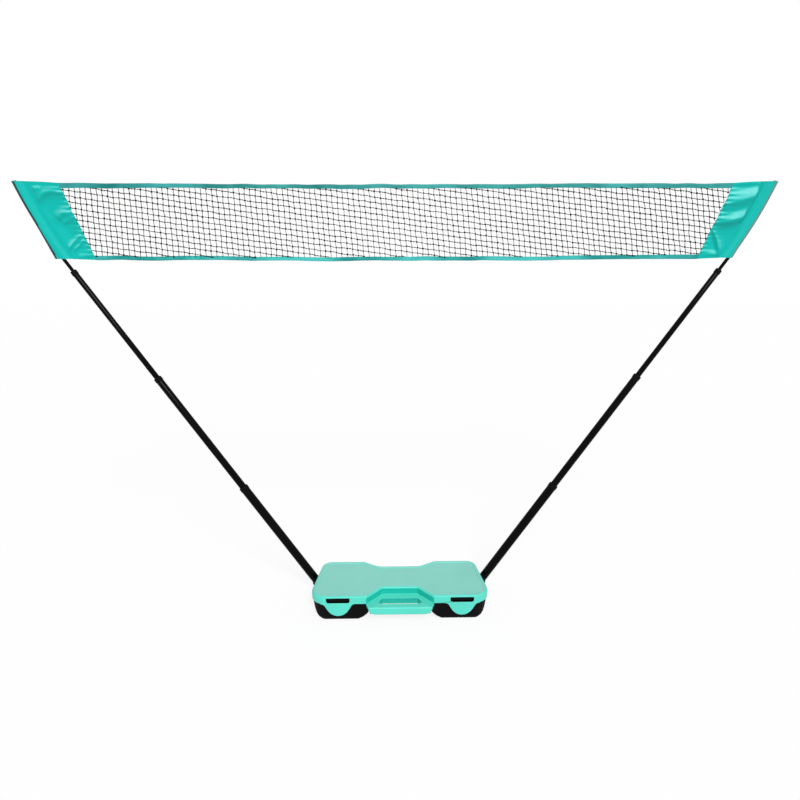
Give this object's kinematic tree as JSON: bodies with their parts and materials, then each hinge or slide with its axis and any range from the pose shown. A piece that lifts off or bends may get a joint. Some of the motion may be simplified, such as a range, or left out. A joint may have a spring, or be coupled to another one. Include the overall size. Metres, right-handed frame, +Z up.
{
  "type": "badminton net post",
  "caption": "Free-standing badminton net set: a carry case as the base, telescopic poles leaning out in a V, and a low net with fabric end panels between their tips.",
  "frame": {"origin": "on the floor, under the middle of the whole set's bounding box", "axes": "+X along the net, -Y towards the case's handle, +Z up"},
  "size_m": [2.5218, 0.2878, 1.5507],
  "materials": {
    "turquoise_plastic": "satin",
    "black_plastic": "satin",
    "black_tube": "gloss",
    "glass_fibre": "gloss",
    "pin_steel": "satin",
    "turquoise_fabric": "satin",
    "net_twine": "matte"
  },
  "bodies": {
    "case": {"case_base": "black_plastic", "hinge_pin_left": "pin_steel", "hinge_pin_right": "pin_steel", "latch_pin_left": "pin_steel", "latch_pin_right": "pin_steel", "left_foot_plug": "black_plastic", "left_tube_1": "black_tube", "left_collar_1": "black_plastic", "right_foot_plug": "black_plastic", "right_tube_1": "black_tube", "right_collar_1": "black_plastic"},
    "lid": {"case_lid": "turquoise_plastic"},
    "latch_left": {"latch_tab_left": "black_plastic"},
    "left_tube_2": {"left_tube_2": "black_tube", "left_bush_2": "black_plastic", "left_collar_2": "black_plastic"},
    "left_tube_3": {"left_tube_3": "black_tube", "left_bush_3": "black_plastic", "left_collar_3": "black_plastic"},
    "left_rod": {"left_top_rod": "glass_fibre", "left_rod_bush": "black_plastic", "left_tip_cap": "black_plastic", "net_panel_left": "turquoise_fabric"},
    "latch_right": {"latch_tab_right": "black_plastic"},
    "right_tube_2": {"right_tube_2": "black_tube", "right_bush_2": "black_plastic", "right_collar_2": "black_plastic"},
    "right_tube_3": {"right_tube_3": "black_tube", "right_bush_3": "black_plastic", "right_collar_3": "black_plastic"},
    "right_rod": {"right_top_rod": "glass_fibre", "right_rod_bush": "black_plastic", "right_tip_cap": "black_plastic", "net_panel_right": "turquoise_fabric"},
    "net": {"net_mesh": "net_twine", "top_tape": "turquoise_fabric", "bottom_tape": "turquoise_fabric"}
  },
  "joints": [
    {"name": "lid_hinge", "type": "hinge", "parent": "case", "child": "lid", "pos_m": [0, 0.1384, 0.072], "axis": [-1, 0, 0], "range_deg": [0, 110]},
    {"name": "latch_left_press", "type": "hinge", "parent": "case", "child": "latch_left", "pos_m": [-0.228, -0.1009, 0.048], "axis": [1, 0, 0], "range_deg": [0, 10], "stiffness_Nm_per_rad": 0.3},
    {"name": "latch_right_press", "type": "hinge", "parent": "case", "child": "latch_right", "pos_m": [0.228, -0.1009, 0.048], "axis": [1, 0, 0], "range_deg": [0, 10], "stiffness_Nm_per_rad": 0.3},
    {"name": "left_tube_2_slide", "type": "slide", "parent": "case", "child": "left_tube_2", "axis": [0.5446, 0, -0.8387], "range_m": [0, 0.44]},
    {"name": "left_tube_3_slide", "type": "slide", "parent": "left_tube_2", "child": "left_tube_3", "axis": [0.5446, 0, -0.8387], "range_m": [0, 0.4151]},
    {"name": "left_rod_slide", "type": "slide", "parent": "left_tube_3", "child": "left_rod", "axis": [0.5446, 0, -0.8387], "range_m": [0, 0.035]},
    {"name": "right_tube_2_slide", "type": "slide", "parent": "case", "child": "right_tube_2", "axis": [-0.5446, 0, -0.8387], "range_m": [0, 0.44]},
    {"name": "right_tube_3_slide", "type": "slide", "parent": "right_tube_2", "child": "right_tube_3", "axis": [-0.5446, 0, -0.8387], "range_m": [0, 0.4151]},
    {"name": "right_rod_slide", "type": "slide", "parent": "right_tube_3", "child": "right_rod", "axis": [-0.5446, 0, -0.8387], "range_m": [0, 0.035]},
    {"name": "net_lower", "type": "slide", "parent": "case", "child": "net", "axis": [0, 0, -1], "range_m": [0, 0.7465], "deforming": ["net_mesh", "top_tape", "bottom_tape"]}
  ],
  "couplings": [
    {"joint": "right_tube_2_slide", "follows": "left_tube_2_slide", "ratio": 1},
    {"joint": "left_tube_3_slide", "follows": "left_tube_2_slide", "ratio": 0.94318},
    {"joint": "right_tube_3_slide", "follows": "left_tube_2_slide", "ratio": 0.94318},
    {"joint": "left_rod_slide", "follows": "left_tube_2_slide", "ratio": 0.079545},
    {"joint": "right_rod_slide", "follows": "left_tube_2_slide", "ratio": 0.079545},
    {"joint": "net_lower", "follows": "left_tube_2_slide", "ratio": 1.6964}
  ]
}
